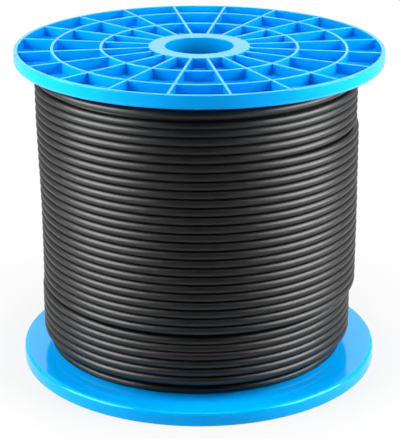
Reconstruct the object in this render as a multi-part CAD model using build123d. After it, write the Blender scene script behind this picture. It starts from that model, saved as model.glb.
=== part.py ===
from build123d import *
import math
import os

# Plastic cable drum, wound full with round cable and standing on one of its two flanges.
# Millimetres, Z up, origin on the floor at the drum's axis.

# Driving dimensions of the drum
FLANGE_DIAMETER = 270.0
OVERALL_HEIGHT = 240.5
FLANGE_THICKNESS = 10.25
WEB_THICKNESS = 2.5
RIM_EDGE_CHAMFER = 1.5
BORE_DIAMETER = 50.0
HUB_DIAMETER = 74.3
BARREL_DIAMETER = 150.0
BARREL_WALL = 4.0
PILOT_HEIGHT = 3.0
PILOT_CLEARANCE = 0.2

# Driving dimensions of the ribs on a flange's outer side, with thicknesses measured at their tops
RIB_COUNT = 20
RIB_THICKNESS = 2.0
RING_RIB_RADII = (71.8, 107.4)
RING_RIB_THICKNESS = 2.2
RIM_THICKNESS = 2.9
RIB_DRAFT = 1.5

# Driving dimensions of the winding
CABLE_DIAMETER = 6.25
TURN_PITCH = 6.28
OUTER_LAYER_TURNS = 32
TURNS_ABOVE_LOOSE_GAP = 26
LOOSE_GAP_WIDTH = 3.0
LOOSE_GAP_DEPTH = 3.2
TOP_MARGIN = 5.35
WINDING_DIAMETER = 237.5
LOWER_BAND_DIAMETER = 236.0

flange_radius = FLANGE_DIAMETER / 2
bore_radius = BORE_DIAMETER / 2
hub_radius = HUB_DIAMETER / 2
barrel_radius = BARREL_DIAMETER / 2
traverse_bottom = FLANGE_THICKNESS
traverse_top = OVERALL_HEIGHT - FLANGE_THICKNESS
rib_depth = FLANGE_THICKNESS - WEB_THICKNESS
draft_spread = rib_depth * math.tan(math.radians(RIB_DRAFT))


def turned(points):
    """Solid of revolution about Z of a closed outline given as (radius, height) corners."""
    return revolve(make_face(Plane.XZ * Polyline(points, close=True)), Axis.Z)


def ring_rib_section(radius):
    """Corners of a drafted ring rib on the web, from its outer foot over its top to its inner foot."""
    half = RING_RIB_THICKNESS / 2
    return [
        (radius + half + draft_spread, WEB_THICKNESS),
        (radius + half, FLANGE_THICKNESS),
        (radius - half, FLANGE_THICKNESS),
        (radius - half - draft_spread, WEB_THICKNESS),
    ]


def flange_blank():
    """Turned body of a flange, inner face at height 0 and ribbed side up: rim, web, ring ribs, hub and pilot."""
    pilot_radius = barrel_radius - BARREL_WALL - PILOT_CLEARANCE
    rim_inside = flange_radius - RIM_THICKNESS
    section = [
        (bore_radius, -PILOT_HEIGHT),
        (pilot_radius, -PILOT_HEIGHT),
        (pilot_radius, 0),
        (flange_radius - RIM_EDGE_CHAMFER, 0),
        (flange_radius, RIM_EDGE_CHAMFER),
        (flange_radius, FLANGE_THICKNESS),
        (rim_inside, FLANGE_THICKNESS),
        (rim_inside - draft_spread, WEB_THICKNESS),
    ]
    for radius in reversed(RING_RIB_RADII):
        section += ring_rib_section(radius)
    section += [
        (hub_radius + draft_spread, WEB_THICKNESS),
        (hub_radius, FLANGE_THICKNESS),
        (bore_radius, FLANGE_THICKNESS),
    ]
    return turned(section)


def radial_rib():
    """Drafted straight rib along +X, its ends buried in the hub and the rim and its foot in the web."""
    start = (bore_radius + hub_radius) / 2
    end = flange_radius - RIM_THICKNESS / 2
    half = RIB_THICKNESS / 2
    section = Polygon(
        (-half, FLANGE_THICKNESS),
        (-half - draft_spread, WEB_THICKNESS),
        (-half - draft_spread, WEB_THICKNESS / 2),
        (half + draft_spread, WEB_THICKNESS / 2),
        (half + draft_spread, WEB_THICKNESS),
        (half, FLANGE_THICKNESS),
        align=None,
    )
    across = Plane(origin=(start, 0, 0), x_dir=(0, 1, 0), z_dir=(1, 0, 0))
    return extrude(across * section, amount=end - start)


def flange():
    """One moulding: the turned body with its radial ribs, a gap between ribs facing each main direction."""
    half_step = 180 / RIB_COUNT
    ribs = PolarLocations(0, RIB_COUNT, start_angle=half_step) * radial_rib()
    return flange_blank() + ribs


def barrel():
    """Tube that carries the winding, seated between the flanges over their pilots."""
    inner_radius = barrel_radius - BARREL_WALL
    section = [
        (inner_radius, traverse_bottom),
        (barrel_radius, traverse_bottom),
        (barrel_radius, traverse_top),
        (inner_radius, traverse_top),
    ]
    return turned(section)


def cable_winding():
    """Wound cable as one turned solid: full layers, then an outer layer short of both flanges."""
    layer_step = TURN_PITCH * math.sin(math.radians(60))
    outer_radius = WINDING_DIAMETER / 2
    lower_radius = LOWER_BAND_DIAMETER / 2
    under_radius = outer_radius - layer_step
    layer_top = traverse_top - TOP_MARGIN
    layer_bottom = layer_top - OUTER_LAYER_TURNS * TURN_PITCH
    gap = layer_top - TURNS_ABOVE_LOOSE_GAP * TURN_PITCH
    edge = CABLE_DIAMETER / 2
    section = [
        (barrel_radius, traverse_bottom),
        (under_radius, traverse_bottom),
        (under_radius, layer_bottom),
        (lower_radius, layer_bottom + edge),
        (lower_radius, gap - LOOSE_GAP_WIDTH / 2),
        (outer_radius - LOOSE_GAP_DEPTH, gap),
        (outer_radius, gap + LOOSE_GAP_WIDTH / 2),
        (outer_radius, layer_top - edge),
        (under_radius, layer_top),
        (under_radius, traverse_top),
        (barrel_radius, traverse_top),
    ]
    return turned(section)


moulding = flange()
nodes = {
    "flange_top": Pos(0, 0, traverse_top) * moulding,
    "flange_bottom": Pos(0, 0, traverse_bottom) * Rot(180, 0, 0) * moulding,
    "barrel": barrel(),
    "cable_winding": cable_winding(),
}

os.makedirs("parts", exist_ok=True)
for name, solid in nodes.items():
    export_step(solid, f"parts/{name}.step")
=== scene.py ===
import math

import bpy
from mathutils import Matrix, Vector, noise


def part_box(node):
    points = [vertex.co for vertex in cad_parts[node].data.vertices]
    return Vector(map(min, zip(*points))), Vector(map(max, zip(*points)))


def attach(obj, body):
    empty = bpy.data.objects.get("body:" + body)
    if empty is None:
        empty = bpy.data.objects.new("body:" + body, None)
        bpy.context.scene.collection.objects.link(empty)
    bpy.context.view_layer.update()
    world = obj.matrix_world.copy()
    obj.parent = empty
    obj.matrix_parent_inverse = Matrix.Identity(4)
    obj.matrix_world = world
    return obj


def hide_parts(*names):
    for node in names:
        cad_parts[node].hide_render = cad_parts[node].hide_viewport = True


# Plastic cable drum wound full with black cable, standing on one flange.
# Metres, Z up, origin on the floor at the drum's axis, camera on the -Y side.
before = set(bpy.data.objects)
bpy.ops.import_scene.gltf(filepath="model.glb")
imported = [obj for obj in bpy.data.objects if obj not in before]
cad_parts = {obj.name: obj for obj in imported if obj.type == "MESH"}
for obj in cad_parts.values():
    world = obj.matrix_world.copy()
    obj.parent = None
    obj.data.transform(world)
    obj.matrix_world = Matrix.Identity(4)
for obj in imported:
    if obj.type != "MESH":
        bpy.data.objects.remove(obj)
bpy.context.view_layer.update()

MM = 0.001
TAU = 2 * math.pi
FRONT = math.radians(-90)
WHITE = (1, 1, 1, 1)

# Places taken from the frame
flange_low, flange_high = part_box("flange_top")
winding_low, winding_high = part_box("cable_winding")
FLANGE_RADIUS = flange_high.x
OVERALL_HEIGHT = flange_high.z
TRAVERSE_BOTTOM = winding_low.z
TRAVERSE_TOP = winding_high.z
WINDING_RADIUS = winding_high.x
FLANGE_THICKNESS = OVERALL_HEIGHT - TRAVERSE_TOP
PILOT_HEIGHT = TRAVERSE_TOP - flange_low.z
DRUM_MIDDLE = Vector((0, 0, OVERALL_HEIGHT / 2))

# Flange moulding
WEB_THICKNESS = 2.5 * MM
BORE_RADIUS = 25 * MM
HUB_RADIUS = 37.15 * MM
PILOT_RADIUS = 70.8 * MM
RIB_COUNT = 20
RIB_THICKNESS = 2.0 * MM
RING_RIB_RADII = (71.8 * MM, 107.4 * MM)
RING_RIB_THICKNESS = 2.2 * MM
RIM_THICKNESS = 2.9 * MM
RIB_DRAFT = math.radians(1.5)
TOP_EDGE_ROUND = 0.4 * MM
FOOT_FILLET = 0.8 * MM
BORE_EDGE_ROUND = 0.6 * MM
RIM_LIP_ROUND = 0.6 * MM
RIM_INNER_EDGE_ROUND = 3.0 * MM
ROUND_STEPS = 3
RIM_INNER_EDGE_STEPS = 6
POCKET_STEPS = 9
SHARP_EDGE = math.radians(50)

# Cable, whose layers nest in grooves, and the lay of its outer layer, counted in turns from the top
CABLE_RADIUS = 3.125 * MM
TURN_PITCH = 6.28 * MM
LAYER_STEP = TURN_PITCH * math.sin(math.radians(60))
OUTER_TURNS = 32
TOP_MARGIN = 5.35 * MM
STEP_DOWN_HALF = 0.16
END_TUCK = 6.5 * MM
END_TUCK_TURNS = 0.18
OFF_CENTRE_TOP = -2.1 * MM
OFF_CENTRE_BOTTOM = 0.2 * MM
OFF_CENTRE_RISE = (0.45 * OVERALL_HEIGHT, 0.85 * OVERALL_HEIGHT)
HEIGHT_WANDER = 0.12 * MM
RADIUS_WANDER = 0.2 * MM
WANDER_ROUND_DRUM = 1.6
WANDER_PER_TURN = 0.55
WANDER_CHANNEL_STEP = 9
STEPS_PER_TURN = 128
CABLE_SIDES = 14

# Second turn: it sags, and dips in at the front, and each turn below it does so less
SECOND_TURN_FRONT = 1.5
SECOND_TURN_START = (1.05, 1.3)
SECOND_TURN_SAG = 1.9 * MM
SECOND_TURN_DIP = 2.0 * MM
SAG_DECAY = 0.5
FRONT_FADE = (0.2, 0.7)

# Top band: its turns lie higher on the right, and the turns under them lower and further out
TOP_BAND_TURNS = 6
TOP_BAND_FADE = 0.4
TOP_BAND_LIFT = 0.7 * MM
TOP_BAND_RECESS = 0.2 * MM
TOP_GAP_EDGE = 0.05
TOP_GAP_FADE = (1, 10)
TOP_GAP_DROP = 0.8 * MM
TOP_GAP_BULGE = 1.0 * MM

# Lower band: the turns below a loose gap, recessed on the right, with its first two loose at the front
TURNS_ABOVE_GAP = 26
LOOSE_GAP_WIDTH = 0.8 * MM
LOWER_BAND_EDGE = 0.2
LOWER_BAND_RECESS = 2.8 * MM
LOWER_BAND_SHIFT = 0.7 * MM
LOOSE_STRETCH = (0.44, 0.54)
LOOSE_STRETCH_FADE = 0.1
LOOSE_TURN_SHARES = (1, 0.6)
LOOSE_TURN_SAG = 1.5 * MM
LOOSE_TURN_DIP = 2.0 * MM

# Layer under the outer one, which starts from deep turns of the next layer, the lowest on the flange
DEEP_TURNS = 2
DEEP_STEP_HALF = 0.1
CLIMB_TURNS = 0.3
LEVEL_TOP_TURNS = 1
UNDER_LAYER_START = 8.1 * MM
LOWEST_TURN_LIFT = 0.3 * MM
LOWEST_TURN_RECESS = 0.8 * MM
LOWEST_TURN_SHIFT = 2.3 * MM
LOWEST_TURN_OVAL = 5.0 * MM
UNDER_STEPS_PER_TURN = 96
UNDER_SIDES = 8

# Finish of the plastic: linear colours, and noises as scale per metre and detail
PLASTIC_TONES = ((0.0, 0.285, 0.74), (0.0, 0.315, 0.78))
PLASTIC_SPECULAR_TINT = (0.2, 1.0, 1.0, 1)
PLASTIC_IOR = 1.45
PLASTIC_ROUGHNESS = (0.09, 0.14)
PIGMENT_NOISE = (22, 3)
GLOSS_NOISE = (120, 3)
PEEL_NOISE = (420, 2)
PEEL_STRENGTH = 0.03
PEEL_DEPTH = 0.3 * MM

# Finish of the sheath, in the same terms, with its extrusion lines stretched along the cable
SHEATH_TONES = ((0.0015, 0.0015, 0.0015), (0.0035, 0.0035, 0.0035))
SHEATH_SPECULAR_LEVEL = 0.45
SHEATH_ROUGHNESS = (0.36, 0.42)
DUST_NOISE = (260, 4)
SATIN_NOISE = (90, 4)
LINE_STRETCH = (25, 900, 1)
LINE_NOISE = (1, 2)
LINE_STRENGTH = 0.10
LINE_DEPTH = 0.2 * MM
NOISE_MIDDLE = (0.3, 0.7)

# Floor: distances from the drum's axis, and the tones and shares of white that change over them
FLOOR_HALF = 4.0
FLOOR_NEAR = (0.15, 0.24)
FLOOR_NEAR_TONES = (0.45, 0.1)
FLOOR_ASIDE = (0.12, 0.30)
FLOOR_ASIDE_TONES = (0.1, 0.65)
FLOOR_SHOWN_TONE = 0.45
FLOOR_SHADOW = (0.14, 0.26)
FLOOR_WHITE_SHARES = (0.7, 1.0)
FLOOR_MIRRORED_SHARE = 0.35

# World: its fill, and its tones in reflections between two directions along Y
WORLD_FILL = 0.015
WORLD_DEPTH = (-0.5, 0.6)
WORLD_MIRRORED_TONES = (0.015, 0.38)

# Lamps: name, middle, width and height, and radiance, all turned to the drum's middle
SOFTBOXES = (
    ("left_softbox", (-0.475, -0.205, 0.32), (0.42, 0.40), 12),
    ("right_softbox", (0.50, -0.15, 0.32), (0.44, 0.40), 12.2),
    ("back_softbox", (0, 1.3, 0.75), (1.6, 0.7), 0.95),
    ("top_softbox", (0, 0.2, 1.4), (0.5, 0.4), 20),
    ("front_softbox", (0, -0.33, 1.4), (0.8, 0.4), 2.6),
)

# Camera, worked out from the photograph's frame, whose longer side is its height
PHOTO_HEIGHT = 439
FOCAL_PIXELS = 1559.22
SENSOR = 36.0
CAMERA_PLACE = Vector((0, -1.1111, 0.5153))
CAMERA_PITCH = math.radians(20.2637)
CAMERA_YAW = math.radians(0.0362)
CAMERA_ROLL = math.radians(0.1)


def smooth_step(low, high, value):
    """0 below low, 1 above high, and a smooth rise between them."""
    share = min(max((value - low) / (high - low), 0), 1)
    return share * share * (3 - 2 * share)


def window(low, high, fade, value):
    """1 between low and high, falling smoothly to 0 over fade on either side."""
    return smooth_step(low - fade, low, value) * (1 - smooth_step(high, high + fade, value))


def arc(centre, radius, start, end, steps=ROUND_STEPS):
    """Points of a round corner in a section, from one angle in degrees to another."""
    angles = [math.radians(start + (end - start) * i / steps) for i in range(steps + 1)]
    return [(centre[0] + radius * math.cos(a), centre[1] + radius * math.sin(a)) for a in angles]


def add_node(tree, kind, **inputs):
    """A shader node with the given values on its sockets, whose names have spaces for underscores."""
    node = tree.nodes.new(kind)
    for name, value in inputs.items():
        node.inputs[name.replace("_", " ")].default_value = value
    return node


def noise_node(tree, vector, scale, detail):
    """A noise texture over the given coordinates."""
    node = add_node(tree, "ShaderNodeTexNoise", Scale=scale, Detail=detail)
    tree.links.new(vector, node.inputs["Vector"])
    return node.outputs["Fac"]


def mapped(tree, value, source, target):
    """A value's range source spread over the range target, and held at its ends beyond them."""
    node = add_node(
        tree, "ShaderNodeMapRange",
        From_Min=source[0], From_Max=source[1], To_Min=target[0], To_Max=target[1],
    )
    tree.links.new(value, node.inputs["Value"])
    return node.outputs["Result"]


def calculated(tree, operation, *values):
    """The result of a Math node, whose values are sockets or plain numbers."""
    node = tree.nodes.new("ShaderNodeMath")
    node.operation = operation
    for socket, value in zip(node.inputs, values):
        if isinstance(value, (int, float)):
            socket.default_value = value
        else:
            tree.links.new(value, socket)
    return node.outputs[0]


def coordinate(tree, vector, axis):
    """One coordinate of a vector."""
    node = tree.nodes.new("ShaderNodeSeparateXYZ")
    tree.links.new(vector, node.inputs["Vector"])
    return node.outputs[axis]


def mixed(tree, share, first, second):
    """A mix of two shaders, all the first where the share is 0 and all the second where it is 1."""
    node = tree.nodes.new("ShaderNodeMixShader")
    tree.links.new(share, node.inputs["Fac"])
    tree.links.new(first.outputs[0], node.inputs[1])
    tree.links.new(second.outputs[0], node.inputs[2])
    return node


def two_tone(tree, value, first, second):
    """A colour that goes from first to second over the middle of a noise's range."""
    ramp = tree.nodes.new("ShaderNodeValToRGB")
    for element, position, colour in zip(ramp.color_ramp.elements, NOISE_MIDDLE, (first, second)):
        element.position = position
        element.color = (*colour, 1)
    tree.links.new(value, ramp.inputs["Fac"])
    return ramp.outputs["Color"]


def new_material(name):
    """A new material with its node tree and its principled shader."""
    material = bpy.data.materials.new(name)
    material.use_nodes = True
    tree = material.node_tree
    return material, tree, tree.nodes["Principled BSDF"]


def bumped(tree, shader, height, strength, distance):
    """Fine relief of the surface."""
    bump = add_node(tree, "ShaderNodeBump", Strength=strength, Distance=distance)
    tree.links.new(height, bump.inputs["Height"])
    tree.links.new(bump.outputs["Normal"], shader.inputs["Normal"])


def drum_plastic():
    """Glossy blue moulded plastic: slightly uneven pigment, and a mould's faint orange peel."""
    material, tree, shader = new_material("drum_plastic")
    place = tree.nodes.new("ShaderNodeTexCoord").outputs["Object"]
    colour = two_tone(tree, noise_node(tree, place, *PIGMENT_NOISE), *PLASTIC_TONES)
    tree.links.new(colour, shader.inputs["Base Color"])
    shader.inputs["Specular Tint"].default_value = PLASTIC_SPECULAR_TINT
    shader.inputs["IOR"].default_value = PLASTIC_IOR
    roughness = mapped(tree, noise_node(tree, place, *GLOSS_NOISE), NOISE_MIDDLE, PLASTIC_ROUGHNESS)
    tree.links.new(roughness, shader.inputs["Roughness"])
    bumped(tree, shader, noise_node(tree, place, *PEEL_NOISE), PEEL_STRENGTH, PEEL_DEPTH)
    return material


def cable_sheath():
    """Satin black sheath: faint extrusion lines along the cable and a little dust."""
    material, tree, shader = new_material("cable_sheath")
    along = tree.nodes.new("ShaderNodeUVMap").outputs["UV"]
    place = tree.nodes.new("ShaderNodeTexCoord").outputs["Object"]
    stretched = add_node(tree, "ShaderNodeMapping", Scale=LINE_STRETCH)
    tree.links.new(along, stretched.inputs["Vector"])
    lines = noise_node(tree, stretched.outputs["Vector"], *LINE_NOISE)
    colour = two_tone(tree, noise_node(tree, place, *DUST_NOISE), *SHEATH_TONES)
    tree.links.new(colour, shader.inputs["Base Color"])
    roughness = mapped(tree, noise_node(tree, place, *SATIN_NOISE), NOISE_MIDDLE, SHEATH_ROUGHNESS)
    tree.links.new(roughness, shader.inputs["Roughness"])
    shader.inputs["Specular IOR Level"].default_value = SHEATH_SPECULAR_LEVEL
    bumped(tree, shader, lines, LINE_STRENGTH, LINE_DEPTH)
    return material


def mesh_piece(name, points, faces, material):
    """A smooth-shaded mesh object."""
    mesh = bpy.data.meshes.new(name)
    mesh.from_pydata(points, [], faces)
    mesh.materials.append(material)
    mesh.shade_smooth()
    piece = bpy.data.objects.new(name, mesh)
    bpy.context.scene.collection.objects.link(piece)
    return piece


def drafted_wall(edge, side):
    """Section of a rib's wall on one side, from its rounded top edge down to its filleted foot."""
    spread = (FLANGE_THICKNESS - WEB_THICKNESS) * math.tan(RIB_DRAFT)
    top = arc((-TOP_EDGE_ROUND, FLANGE_THICKNESS - TOP_EDGE_ROUND), TOP_EDGE_ROUND, 90, 0)
    foot = arc((spread + FOOT_FILLET, WEB_THICKNESS + FOOT_FILLET), FOOT_FILLET, 180, 270)
    return [(edge + side * across, height) for across, height in top + foot]


def flange_section():
    """Closed section of a flange as (radius, height, ribbed), inner face at height 0, ribbed side up."""
    bore = arc(
        (BORE_RADIUS + BORE_EDGE_ROUND, FLANGE_THICKNESS - BORE_EDGE_ROUND), BORE_EDGE_ROUND, 180, 90
    )
    ribbed = drafted_wall(HUB_RADIUS, 1)
    for radius in RING_RIB_RADII:
        ribbed += reversed(drafted_wall(radius - RING_RIB_THICKNESS / 2, -1))
        ribbed += drafted_wall(radius + RING_RIB_THICKNESS / 2, 1)
    ribbed += reversed(drafted_wall(FLANGE_RADIUS - RIM_THICKNESS, -1))
    rim = arc((FLANGE_RADIUS - RIM_LIP_ROUND, FLANGE_THICKNESS - RIM_LIP_ROUND), RIM_LIP_ROUND, 90, 0)
    rim += arc(
        (FLANGE_RADIUS - RIM_INNER_EDGE_ROUND, RIM_INNER_EDGE_ROUND),
        RIM_INNER_EDGE_ROUND, 0, -90, RIM_INNER_EDGE_STEPS,
    )
    pilot = [(PILOT_RADIUS, 0), (PILOT_RADIUS, -PILOT_HEIGHT), (BORE_RADIUS, -PILOT_HEIGHT)]
    section = [(*point, False) for point in bore]
    section += [(*point, True) for point in ribbed]
    section += [(*point, False) for point in rim + pilot]
    return section


def flange_columns():
    """Columns between two ribs as (rib 0 or 1, offset from its middle, share of the gap, rib's height)."""
    wall = drafted_wall(RIB_THICKNESS / 2, 1)
    foot = wall[-1][0]
    columns = [(0, 0.0, 0.0, FLANGE_THICKNESS)]
    columns += [(0, offset, 0.0, height) for offset, height in wall]
    columns += [(0, foot, i / POCKET_STEPS, 0.0) for i in range(1, POCKET_STEPS)]
    columns += [(1, -offset, 0.0, height) for offset, height in reversed(wall)]
    return columns


def column_angle(radius, rib, column):
    """Angle of a column at a radius, in the spacing that starts at the given rib."""
    side, offset, share, _ = column
    step = TAU / RIB_COUNT
    bend = math.asin(offset / radius)
    gap = step - 2 * abs(bend)
    return (rib + side + 0.5) * step + bend + share * gap


def moulded_flange(name, base, up, material):
    """One flange as a closed mesh, its inner face at the height base and its ribbed side along up."""
    section = flange_section()
    columns = [(rib, column) for rib in range(RIB_COUNT) for column in flange_columns()]
    points = []
    for radius, height, ribbed in section:
        for rib, column in columns:
            angle = column_angle(radius, rib, column)
            lifted = max(height, column[3]) if ribbed else height
            points.append((radius * math.cos(angle), radius * math.sin(angle), base + up * lifted))
    rows, width = len(section), len(columns)
    faces = []
    for i in range(rows):
        row, below = i * width, (i + 1) % rows * width
        for j in range(width):
            beside = (j + 1) % width
            face = (row + j, below + j, below + beside, row + beside)
            faces.append(face if up > 0 else face[::-1])
    piece = mesh_piece(name, points, faces, material)
    piece.data.set_sharp_from_angle(angle=SHARP_EDGE)
    weighted = piece.modifiers.new("face_weighted", "WEIGHTED_NORMAL")
    weighted.keep_sharp = True
    return piece


def off_centre(height):
    """How far the winding's middle lies off the drum's axis along X at a height."""
    share = smooth_step(*OFF_CENTRE_RISE, height)
    return OFF_CENTRE_BOTTOM + (OFF_CENTRE_TOP - OFF_CENTRE_BOTTOM) * share


def unevenness(angle, turn, channel):
    """Slow wander of a turn round the drum, about -1 to 1, different for each channel."""
    across = WANDER_ROUND_DRUM * math.cos(angle)
    ahead = WANDER_ROUND_DRUM * math.sin(angle) + WANDER_CHANNEL_STEP * channel
    return noise.noise(Vector((across, ahead, WANDER_PER_TURN * turn)))


def level_lay(turn):
    """Turns laid so far where each runs level round the drum and steps down to the next at the back."""
    back = round(turn)
    return back - 0.5 + smooth_step(-STEP_DOWN_HALF, STEP_DOWN_HALF, turn - back)


def looseness(turn):
    """How loose the cable is at the front of the first turns below the loose gap, from 0 to 1."""
    return sum(
        share * window(*LOOSE_STRETCH, LOOSE_STRETCH_FADE, turn - TURNS_ABOVE_GAP - i)
        for i, share in enumerate(LOOSE_TURN_SHARES)
    )


def outer_path():
    """Centre line of the outer layer, from its start at the back under the top flange down to its end."""
    start, end = -STEP_DOWN_HALF, OUTER_TURNS + STEP_DOWN_HALF
    count = round((end - start) * STEPS_PER_TURN)
    points = []
    for i in range(count + 1):
        turn = start + (end - start) * i / count
        angle = FRONT - TAU * (turn - 0.5)
        right = max(math.cos(angle), 0) ** 2
        front = smooth_step(*FRONT_FADE, -math.sin(angle))
        second = smooth_step(*SECOND_TURN_START, turn) * SAG_DECAY ** (turn - SECOND_TURN_FRONT)
        upper = 1 - smooth_step(TOP_BAND_TURNS - TOP_BAND_FADE, TOP_BAND_TURNS, turn)
        dropped = smooth_step(-TOP_GAP_EDGE, TOP_GAP_EDGE, turn - TOP_BAND_TURNS)
        dropped *= 1 - smooth_step(*TOP_GAP_FADE, turn - TOP_BAND_TURNS)
        lower = smooth_step(-LOWER_BAND_EDGE, LOWER_BAND_EDGE, turn - TURNS_ABOVE_GAP)
        loose = looseness(turn)
        tuck = 1 - window(start + END_TUCK_TURNS, end - END_TUCK_TURNS, END_TUCK_TURNS, turn)
        height = TRAVERSE_TOP - TOP_MARGIN - TURN_PITCH * level_lay(turn)
        height -= lower * LOOSE_GAP_WIDTH + second * SECOND_TURN_SAG + loose * LOOSE_TURN_SAG
        height += right * (upper * TOP_BAND_LIFT - dropped * TOP_GAP_DROP)
        height += HEIGHT_WANDER * unevenness(angle, turn, 0)
        radius = WINDING_RADIUS - CABLE_RADIUS - END_TUCK * tuck
        radius -= front * second * SECOND_TURN_DIP + loose * LOOSE_TURN_DIP
        radius -= right * (lower * LOWER_BAND_RECESS + upper * TOP_BAND_RECESS - dropped * TOP_GAP_BULGE)
        radius += RADIUS_WANDER * unevenness(angle, turn, 1)
        points.append((off_centre(height) - lower * LOWER_BAND_SHIFT, angle, radius, height))
    return points


def under_path():
    """Centre line of the layer under the outer one, from its deep turns up to a level turn at the top."""
    lowest = TRAVERSE_BOTTOM + CABLE_RADIUS + LOWEST_TURN_LIFT
    low, high = lowest + UNDER_LAYER_START, TRAVERSE_TOP - CABLE_RADIUS
    turns = round((high - low) / TURN_PITCH)
    points = []
    for i in range((DEEP_TURNS + turns + LEVEL_TOP_TURNS) * UNDER_STEPS_PER_TURN + 1):
        laid = i / UNDER_STEPS_PER_TURN
        turn = laid - DEEP_TURNS
        angle = -FRONT + TAU * turn
        first = 1 - smooth_step(1 - DEEP_STEP_HALF, 1 + DEEP_STEP_HALF, laid)
        deep = 1 - smooth_step(0, CLIMB_TURNS, turn)
        rise = min(max(turn / turns, 0), 1)
        height = low + (high - low) * rise - deep * UNDER_LAYER_START + first * TURN_PITCH
        oval = LOWEST_TURN_OVAL * math.cos(angle) ** 2
        radius = WINDING_RADIUS - CABLE_RADIUS - LAYER_STEP
        radius -= deep * (LAYER_STEP + LOWEST_TURN_RECESS - oval)
        points.append((off_centre(height) - deep * LOWEST_TURN_SHIFT, angle, radius, height))
    return points


def coil(name, path, sides, material):
    """A round cable as a closed mesh tube along a path of (middle's X, angle, radius, height)."""
    points = []
    for middle, angle, radius, height in path:
        for j in range(sides):
            around = TAU * j / sides
            out = radius + CABLE_RADIUS * math.cos(around)
            points.append((
                middle + out * math.cos(angle),
                out * math.sin(angle),
                height + CABLE_RADIUS * math.sin(around),
            ))
    anticlockwise = path[-1][1] > path[0][1]
    # Places on the sheath are metres along the cable, as its first turn measures, and metres round it
    faces, places = [], []
    for i in range(len(path) - 1):
        along = [abs(path[i + k][1] - path[0][1]) * path[0][2] for k in (0, 1)]
        for j in range(sides):
            beside = (j + 1) % sides
            face = (i * sides + j, i * sides + beside, (i + 1) * sides + beside, (i + 1) * sides + j)
            round_place = [TAU * CABLE_RADIUS * (j + k) / sides for k in (0, 1)]
            place = [
                (along[0], round_place[0]), (along[0], round_place[1]),
                (along[1], round_place[1]), (along[1], round_place[0]),
            ]
            faces.append(face[::-1] if anticlockwise else face)
            places += place[::-1] if anticlockwise else place
    first = tuple(range(sides))
    last = tuple(range((len(path) - 1) * sides, len(path) * sides))
    faces.append(first if anticlockwise else first[::-1])
    faces.append(last[::-1] if anticlockwise else last)
    places += [(0, 0)] * (2 * sides)
    piece = mesh_piece(name, points, faces, material)
    layer = piece.data.uv_layers.new(name="along")
    layer.data.foreach_set("uv", [value for place in places for value in place])
    return piece


def softbox(name, centre, size, radiance, target):
    """A soft rectangular lamp of the given brightness, turned to a target."""
    data = bpy.data.lights.new(name, "AREA")
    data.shape = "RECTANGLE"
    data.size, data.size_y = size
    data.energy = radiance * math.pi * size[0] * size[1]
    lamp = bpy.data.objects.new(name, data)
    lamp.location = centre
    lamp.rotation_euler = (target - Vector(centre)).to_track_quat("-Z", "Y").to_euler()
    lamp.visible_camera = False
    bpy.context.scene.collection.objects.link(lamp)


def studio_floor():
    """A floor seen as white with a soft shadow round the drum, which throws back most light at its sides."""
    material, tree, shader = new_material("white_floor")
    tree.nodes.remove(shader)
    place = tree.nodes.new("ShaderNodeTexCoord").outputs["Object"]
    reach = tree.nodes.new("ShaderNodeVectorMath")
    reach.operation = "LENGTH"
    tree.links.new(place, reach.inputs[0])
    distance = reach.outputs["Value"]
    aside = calculated(tree, "ABSOLUTE", coordinate(tree, place, "X"))
    path = tree.nodes.new("ShaderNodeLightPath")
    camera_ray = path.outputs["Is Camera Ray"]
    glossy_ray = path.outputs["Is Glossy Ray"]
    near_tone = mapped(tree, distance, FLOOR_NEAR, FLOOR_NEAR_TONES)
    aside_tone = mapped(tree, aside, FLOOR_ASIDE, FLOOR_ASIDE_TONES)
    lit_tone = calculated(tree, "MAXIMUM", near_tone, aside_tone)
    shown_tone = calculated(tree, "MULTIPLY", camera_ray, FLOOR_SHOWN_TONE)
    matte = tree.nodes.new("ShaderNodeBsdfDiffuse")
    tree.links.new(calculated(tree, "MAXIMUM", lit_tone, shown_tone), matte.inputs["Color"])
    glow = add_node(tree, "ShaderNodeEmission", Color=WHITE, Strength=1)
    white_share = mapped(tree, distance, FLOOR_SHADOW, FLOOR_WHITE_SHARES)
    seen_share = calculated(tree, "MULTIPLY", camera_ray, white_share)
    mirrored_share = calculated(tree, "MULTIPLY", glossy_ray, FLOOR_MIRRORED_SHARE)
    glow_share = calculated(tree, "MAXIMUM", seen_share, mirrored_share)
    surface = mixed(tree, glow_share, matte, glow)
    tree.links.new(surface.outputs[0], tree.nodes["Material Output"].inputs["Surface"])
    corners = [(FLOOR_HALF * x, FLOOR_HALF * y, 0) for x, y in ((-1, -1), (1, -1), (1, 1), (-1, 1))]
    mesh_piece("studio_floor", corners, [(0, 1, 2, 3)], material)


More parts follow.
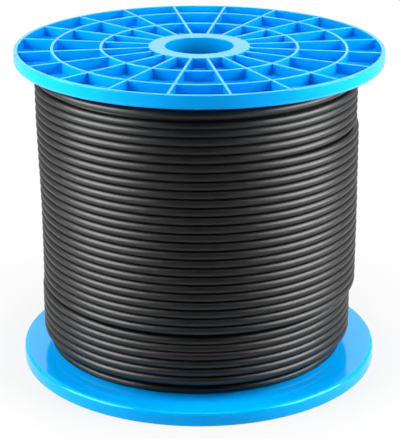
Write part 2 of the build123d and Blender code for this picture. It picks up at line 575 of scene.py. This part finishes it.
def studio_world():
    """White where the camera looks, paler at the back than at the front in reflections, and a low fill."""
    world = bpy.data.worlds.new("studio")
    world.use_nodes = True
    tree = world.node_tree
    fill = tree.nodes["Background"]
    fill.inputs["Color"].default_value = WHITE
    fill.inputs["Strength"].default_value = WORLD_FILL
    seen = add_node(tree, "ShaderNodeBackground", Color=WHITE, Strength=1)
    mirrored = add_node(tree, "ShaderNodeBackground", Strength=1)
    direction = tree.nodes.new("ShaderNodeTexCoord").outputs["Generated"]
    tone = mapped(tree, coordinate(tree, direction, "Y"), WORLD_DEPTH, WORLD_MIRRORED_TONES)
    tree.links.new(tone, mirrored.inputs["Color"])
    path = tree.nodes.new("ShaderNodeLightPath")
    unseen = mixed(tree, path.outputs["Is Glossy Ray"], fill, mirrored)
    whole = mixed(tree, path.outputs["Is Camera Ray"], unseen, seen)
    tree.links.new(whole.outputs[0], tree.nodes["World Output"].inputs["Surface"])
    bpy.context.scene.world = world


def photo_camera():
    """The camera at the photograph's place, turned by its pitch, yaw and roll."""
    ahead = Vector((
        math.sin(CAMERA_YAW) * math.cos(CAMERA_PITCH),
        math.cos(CAMERA_YAW) * math.cos(CAMERA_PITCH),
        -math.sin(CAMERA_PITCH),
    ))
    level = ahead.cross(Vector((0, 0, 1))).normalized()
    upright = level.cross(ahead)
    right = math.cos(CAMERA_ROLL) * level + math.sin(CAMERA_ROLL) * upright
    above = math.cos(CAMERA_ROLL) * upright - math.sin(CAMERA_ROLL) * level
    turn = Matrix((right, above, -ahead)).transposed()
    data = bpy.data.cameras.new("photo_camera")
    data.sensor_width = SENSOR
    data.lens = SENSOR * FOCAL_PIXELS / PHOTO_HEIGHT
    camera = bpy.data.objects.new("photo_camera", data)
    camera.location = CAMERA_PLACE
    camera.rotation_euler = turn.to_euler()
    bpy.context.scene.collection.objects.link(camera)
    bpy.context.scene.camera = camera


# The object
plastic = drum_plastic()
sheath = cable_sheath()
for name, base, up in (("flange_top", TRAVERSE_TOP, 1), ("flange_bottom", TRAVERSE_BOTTOM, -1)):
    flange = moulded_flange("moulded_" + name, base, up, plastic)
    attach(flange, "root")
    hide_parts(name)
for name, path, sides in (
    ("cable_outer_layer", outer_path(), CABLE_SIDES),
    ("cable_under_layer", under_path(), UNDER_SIDES),
):
    layer = coil(name, path, sides, sheath)
    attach(layer, "root")
    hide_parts("cable_winding")
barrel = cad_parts["barrel"]
barrel.data.materials.clear()
barrel.data.materials.append(plastic)

# The studio
studio_floor()
studio_world()
for name, centre, size, radiance in SOFTBOXES:
    softbox(name, centre, size, radiance, DRUM_MIDDLE)
photo_camera()
bpy.context.scene.view_settings.view_transform = "Standard"
